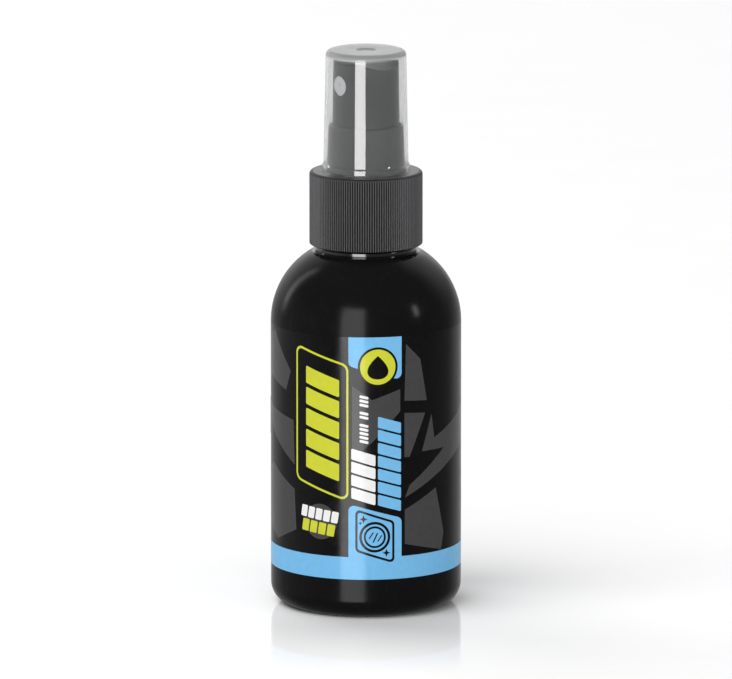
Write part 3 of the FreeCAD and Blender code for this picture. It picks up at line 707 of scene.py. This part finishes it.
def make_label():
    """The film, and each ink on it as its own layer."""
    black = ink("ink_black", (0.0022, 0.0021, 0.0023))
    grey = ink("ink_grey", (0.052, 0.05, 0.052))
    blue = ink("ink_blue", (0.16, 0.435, 0.71))
    lime = ink("ink_lime", (0.54, 0.565, 0.036))
    white = ink("ink_white", (0.77, 0.765, 0.77), 0.03)
    frame_outline = rounded([
        (-18.9, 33.9, 2.2), (PANEL_LEFT, 29.3, 1.6), (PANEL_LEFT, 63.1, 2.2), (-18.9, 67.3, 1.6),
    ], 10)
    make_film(black)
    printed("label_shards", grey_shapes(), 1, grey)
    printed("label_blue", blue_shapes(), 2, blue)
    printed("label_frame_fill", [[frame_outline]], 2, black)
    printed("label_lime", lime_shapes(frame_outline), 3, lime)
    printed("label_white", white_shapes(), 3, white)
    printed("label_black_lines", black_shapes(), 4, black)
    printed("label_emblem", [[disc(*EMBLEM, 4.35)]], 5, lime)
    printed("label_drop", [[droplet(2.9, 62.5, 2.9)]], 6, black)


# Studio

# The cards stand round a point above the base, each a step further off than the last, so that none cross
FLOOR_R = 2.5
CARD_AIM_Z = 0.07
CARD_DISTANCE = 1.15
CARD_STEP = 0.01

# Each lamp's name, place and size in metres, and power in watts
LAMPS = [
    ("key", (-1.1, -1.0, 2.4), 2.0, 50),
    ("left_back", (-1.6, 1.8, 2.0), 2.0, 37),
    ("back", (0, 2.6, 1.6), 2.0, 13),
    ("front", (0, -2.6, 1.6), 2.0, 23),
    ("right", (2.2, -1.6, 0.9), 1.4, 14),
]

# Each card's name, azimuth, spread, low edge, high edge, strength and soft share, as light_card takes them
CARDS = [
    ("card_front", -16, 31, -30, 30, 11, 0.06),
    ("card_left", -90, 110, -35, 30, 0.3, 0.4),
    ("card_curve", -122, 13, -4, 50, 4, 0.25),
    ("card_rim", 180, 130, -45, 8, 0.25, 0.15),
    ("card_back", 196, 96, -6, 55, 0.95, 0.25),
    ("card_shoulder", 140, 84, -4, 62, 1.2, 0.4),
    ("card_spot", 66, 8, 10, 25, 18, 0.2),
]


def light_card(name, azimuth, spread, low, high, strength, soft, distance):
    """An upright glowing card that shows only in reflections. Its azimuth and spread, and the elevations of
    its low and high edges, are in degrees as seen from the object."""
    mesh = bmesh.new()
    layer = mesh.loops.layers.uv.new("across")
    columns = 16
    rows = []
    for k in range(columns + 1):
        angle = math.radians(azimuth + spread * (k / columns - 0.5))
        x = distance * math.sin(angle)
        y = -distance * math.cos(angle)
        heights = [CARD_AIM_Z + distance * math.tan(math.radians(edge)) for edge in (low, high)]
        rows.append([mesh.verts.new((x, y, z)) for z in heights])
    for k in range(columns):
        face = mesh.faces.new((rows[k][0], rows[k + 1][0], rows[k + 1][1], rows[k][1]))
        for loop, place in zip(face.loops, ((k, 0), (k + 1, 0), (k + 1, 1), (k, 1))):
            loop[layer].uv = (place[0] / columns, place[1])
    card = mesh_object(name, mesh, glow(name, strength, soft))
    card.visible_camera = card.visible_diffuse = card.visible_transmission = card.visible_shadow = False


def glow(name, strength, soft):
    """A card's light. It fades to nothing over its soft share of the width and height at each edge, and
    adds to what is behind it."""
    t = Tree(name)
    t.material.cycles.emission_sampling = "NONE"
    across = t.node("ShaderNodeUVMap")
    across.uv_map = "across"
    place = t.node("ShaderNodeSeparateXYZ", Vector=across.outputs["UV"])
    fades = []
    for axis, most in (("X", strength), ("Y", 1)):
        inward = t.calculated("PINGPONG", place.outputs[axis], 0.5)
        fade = t.node("ShaderNodeMapRange", Value=inward, From_Max=soft, To_Max=most)
        fade.interpolation_type = "SMOOTHSTEP"
        fades.append(fade.outputs["Result"])
    emission = t.node("ShaderNodeEmission", Strength=t.calculated("MULTIPLY", *fades))
    added = t.node("ShaderNodeAddShader")
    t.feed(added.inputs[0], emission.outputs[0])
    t.feed(added.inputs[1], t.node("ShaderNodeBsdfTransparent").outputs[0])
    t.feed(t.nodes["Material Output"].inputs["Surface"], added.outputs[0])
    return t.material


def soft_light(name, place, size, power):
    lamp = bpy.data.lights.new(name, "AREA")
    lamp.size = size
    lamp.energy = power
    made = bpy.data.objects.new(name, lamp)
    made.location = place
    made.rotation_euler = (-made.location).to_track_quat("-Z", "Y").to_euler()
    made.visible_glossy = False
    bpy.context.scene.collection.objects.link(made)


def make_camera():
    data = bpy.data.cameras.new("camera")
    data.sensor_width = 36
    data.lens = data.sensor_width * CAMERA_DISTANCE / VIEW_WIDTH
    data.clip_start = 0.1
    data.clip_end = 20
    camera = bpy.data.objects.new("camera", data)
    tilt = math.radians(CAMERA_ELEVATION)
    back = Vector((0, -math.cos(tilt), math.sin(tilt)))
    camera.location = Vector((0, 0, CAMERA_AIM_Z)) + back * CAMERA_DISTANCE
    camera.rotation_euler = (-back).to_track_quat("-Z", "Y").to_euler()
    bpy.context.scene.collection.objects.link(camera)
    bpy.context.scene.camera = camera


def make_world():
    """An even grey room, which is white where it is seen directly or through clear plastic."""
    world = bpy.data.worlds.new("world")
    world.use_nodes = True
    nodes = world.node_tree.nodes
    links = world.node_tree.links
    ray = nodes.new("ShaderNodeLightPath")
    seen = nodes.new("ShaderNodeMath")
    seen.operation = "MAXIMUM"
    links.new(ray.outputs["Is Camera Ray"], seen.inputs[0])
    links.new(ray.outputs["Is Transmission Ray"], seen.inputs[1])
    bright = nodes.new("ShaderNodeMapRange")
    bright.inputs["To Min"].default_value = 0.3
    links.new(seen.outputs[0], bright.inputs["Value"])
    background = nodes["Background"]
    background.inputs["Color"].default_value = (1, 1, 1, 1)
    links.new(bright.outputs["Result"], background.inputs["Strength"])
    return world


def make_floor():
    mesh = bmesh.new()
    bmesh.ops.create_circle(mesh, cap_ends=True, segments=96, radius=FLOOR_R)
    floor = mesh_object("floor", mesh, floor_white())
    floor.visible_glossy = False


def make_studio():
    bpy.context.scene.view_settings.view_transform = "Standard"
    bpy.context.scene.world = make_world()
    make_floor()
    for lamp in LAMPS:
        soft_light(*lamp)
    for index, card in enumerate(CARDS):
        light_card(*card, distance=CARD_DISTANCE + CARD_STEP * index)


make_camera()
make_studio()
make_bottle()
make_label()
make_closure()
make_overcap()
make_spring()
dress_cad_nodes()
